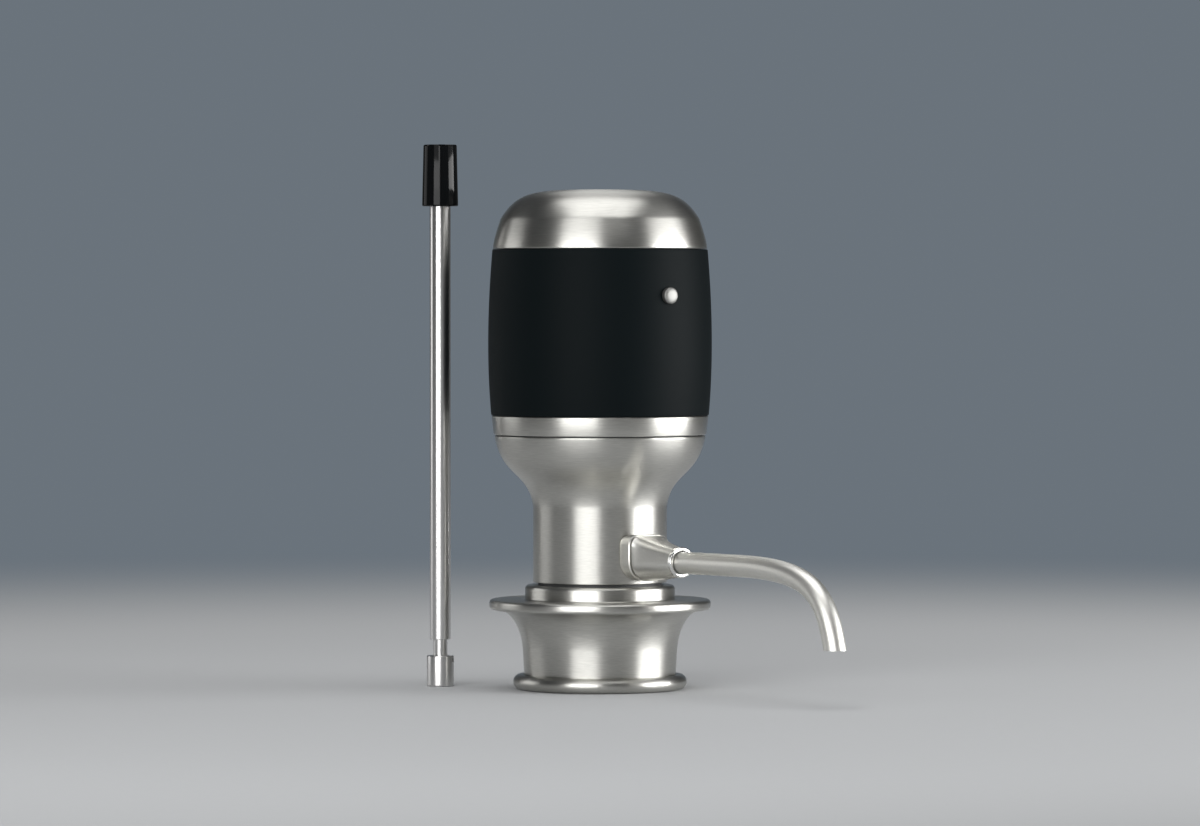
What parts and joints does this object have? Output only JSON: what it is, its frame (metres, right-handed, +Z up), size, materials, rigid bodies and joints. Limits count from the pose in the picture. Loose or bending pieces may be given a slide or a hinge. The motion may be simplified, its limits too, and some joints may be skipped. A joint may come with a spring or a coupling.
{
  "type": "electric wine aerator",
  "caption": "Battery-driven wine aerator head with push button and curved spout, in a flanged metal stand, with a telescopic draw tube beside it.",
  "frame": {"origin": "on the body's vertical axis, at the underside of the stand's foot pad", "axes": "+Z up along the body's axis; the button and the spout face -Y"},
  "size_m": [0.0659, 0.1499, 0.1556],
  "materials": {
    "brushed_steel": "satin, brushed round the axis",
    "satin_tube": "satin drawn tube",
    "bright_steel": "polished",
    "plain_steel": "plain",
    "brass": "plain",
    "copper_winding": "enamelled winding",
    "soft_black": "soft-touch matte",
    "gloss_black": "glossy moulded",
    "dark_silicone": "matte silicone",
    "inner_plastic": "fine moulded texture",
    "pale_silicone": "translucent silicone",
    "board_green": "solder mask",
    "cell_wrap": "plain shrink wrap",
    "red_lead": "insulated wire",
    "black_lead": "insulated wire"
  },
  "bodies": {
    "stand": {"stand_shell": "brushed_steel", "stand_foot": "dark_silicone"},
    "unit": {"bottle_seal": "dark_silicone", "nozzle_nut": "plain_steel", "manifold": "inner_plastic", "check_valve": "pale_silicone", "spout_flange": "brushed_steel", "spout_boss": "brushed_steel", "boss_ring": "bright_steel", "spout_tube": "satin_tube", "bell_shell": "brushed_steel", "trim_ring": "brushed_steel", "barrel": "soft_black", "chassis": "inner_plastic", "chassis_screw_1": "plain_steel", "chassis_screw_2": "plain_steel", "chassis_screw_3": "plain_steel", "air_hose": "pale_silicone", "pump_cover": "inner_plastic", "valve_plate": "pale_silicone", "diaphragm": "pale_silicone", "wobble_plate": "inner_plastic", "pump_housing": "inner_plastic", "pump_screw_1": "plain_steel", "pump_screw_2": "plain_steel", "motor_can": "plain_steel", "battery_tray": "inner_plastic", "contact_board": "board_green", "battery_holder": "inner_plastic", "cell_1": "cell_wrap", "cell_2": "cell_wrap", "cell_3": "cell_wrap", "cell_4": "cell_wrap", "cell_5": "cell_wrap", "cell_6": "cell_wrap", "contact_spring_1": "brass", "contact_spring_2": "brass", "contact_spring_3": "brass", "control_board": "board_green", "switch_body": "inner_plastic", "motor_lead_red": "red_lead", "motor_lead_black": "black_lead", "cap_gasket": "dark_silicone"},
    "rotor": {"motor_shaft": "plain_steel", "motor_rotor": "copper_winding", "eccentric_hub": "brass", "drive_pin": "plain_steel"},
    "button": {"button_cap": "bright_steel", "switch_plunger": "gloss_black"},
    "contact_carrier": {"cap_plate": "inner_plastic", "contact_bridge_1": "brass", "contact_bridge_2": "brass", "contact_bridge_3": "brass"},
    "cap": {"battery_cap": "brushed_steel", "cap_screw": "plain_steel"},
    "tube_base": {"tube_foot": "bright_steel", "inner_tube": "satin_tube"},
    "tube_sleeve": {"outer_tube": "satin_tube", "tube_connector": "gloss_black"}
  },
  "joints": [
    {"name": "unit_lift", "type": "slide", "parent": "stand", "child": "unit", "axis": [0, 0, 1], "range_m": [0, 0.06]},
    {"name": "motor_spin", "type": "hinge", "parent": "unit", "child": "rotor", "pos_m": [0, 0, 0.078], "axis": [0, 0, 1], "continuous": true},
    {"name": "button_press", "type": "slide", "parent": "unit", "child": "button", "axis": [0, 1, 0], "range_m": [0, 0.001], "stiffness_N_per_m": 900, "springref_m": -0.0004},
    {"name": "cap_rise", "type": "slide", "parent": "unit", "child": "contact_carrier", "axis": [0, 0, 1], "range_m": [0, 0.009]},
    {"name": "cap_turn", "type": "hinge", "parent": "contact_carrier", "child": "cap", "pos_m": [0, 0, 0.13], "axis": [0, 0, 1], "range_deg": [0, 90]},
    {"name": "tube_lift", "type": "slide", "parent": "stand", "child": "tube_base", "axis": [0, 0, 1], "range_m": [0, 0.15]},
    {"name": "tube_extend", "type": "slide", "parent": "tube_base", "child": "tube_sleeve", "axis": [0, 0, 1], "range_m": [0, 0.11]}
  ],
  "couplings": [
    {"joint": "cap_rise", "follows": "cap_turn", "m_per_rad": 0.005729}
  ]
}
